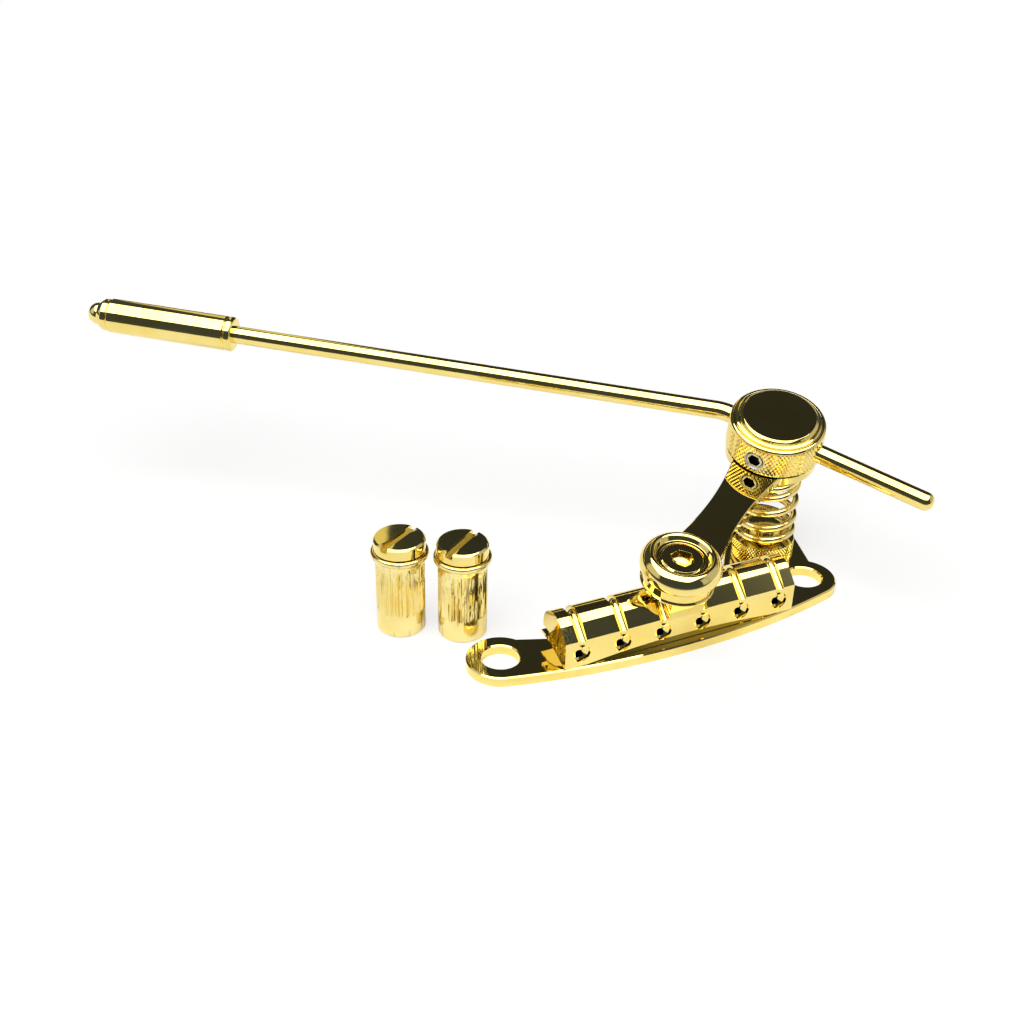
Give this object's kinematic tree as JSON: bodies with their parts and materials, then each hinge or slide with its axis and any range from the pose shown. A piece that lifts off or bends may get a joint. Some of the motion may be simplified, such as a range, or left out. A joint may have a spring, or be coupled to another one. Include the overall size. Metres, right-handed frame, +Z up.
{
  "type": "guitar vibrato tailpiece",
  "caption": "Gold-plated guitar tailpiece: a grooved string bar pivots on a stud plate, with a sprung lever, swivelling vibrato arm and loose mounting studs.",
  "frame": {"origin": "midway between the two stud holes, on the underside of the base plate", "axes": "+X along the string bar to the arm holder's side, +Y to the bridge, +Z up off the guitar's top"},
  "size_m": [0.1665, 0.1472, 0.0487],
  "materials": {
    "gold_plate": "mirror-polished gold plating",
    "gold_wire": "gold-plated spring wire",
    "bright_steel": "bright machined steel",
    "dark_screw": "blackened steel"
  },
  "bodies": {
    "base": {"base_plate": "gold_plate", "pivot_lugs": "gold_plate", "pivot_pins": "bright_steel", "seat_screw": "bright_steel", "return_spring": "gold_wire", "bushing_left": "gold_plate", "bushing_right": "gold_plate"},
    "bar": {"string_bar": "gold_plate", "lever_post": "gold_plate", "lever_plate": "gold_plate", "clamp_knob": "gold_plate", "clamp_screw": "gold_plate"},
    "holder": {"arm_holder": "gold_plate", "holder_cap": "gold_plate", "holder_washer": "bright_steel", "holder_screw": "bright_steel", "arm_grub_screw": "dark_screw"},
    "arm": {"arm_rod": "gold_plate", "arm_handle": "gold_plate", "handle_ring": "gold_plate", "handle_tip": "gold_plate"},
    "seat": {"spring_seat": "gold_plate"},
    "left_stud": {"stud_left": "gold_plate"},
    "right_stud": {"stud_right": "gold_plate"}
  },
  "joints": [
    {"name": "vibrato_tilt", "type": "hinge", "parent": "base", "child": "bar", "pos_m": [0, -0.0074, 0.0052], "axis": [-1, 0, 0], "range_deg": [0, 12], "stiffness_Nm_per_rad": 6.4, "springref_deg": -2.86, "deforming": ["return_spring"]},
    {"name": "arm_swing", "type": "hinge", "parent": "bar", "child": "holder", "pos_m": [0.0419, 0.02008, 0.02896], "axis": [-0.1099, -0.2614, 0.959], "range_deg": [-70, 25]},
    {"name": "arm_slide", "type": "slide", "parent": "holder", "child": "arm", "axis": [-0.526, 0.8359, 0.1566], "range_m": [-0.0005, 0.022]},
    {"name": "seat_turn", "type": "hinge", "parent": "base", "child": "seat", "pos_m": [0.0405, 0.0175, 0.0049], "axis": [0, 0, 1], "continuous": true},
    {"name": "left_stud_height", "type": "slide", "parent": "base", "child": "left_stud", "axis": [0, 0, 1], "range_m": [0, 0.008]},
    {"name": "right_stud_height", "type": "slide", "parent": "base", "child": "right_stud", "axis": [0, 0, 1], "range_m": [0, 0.008]}
  ]
}
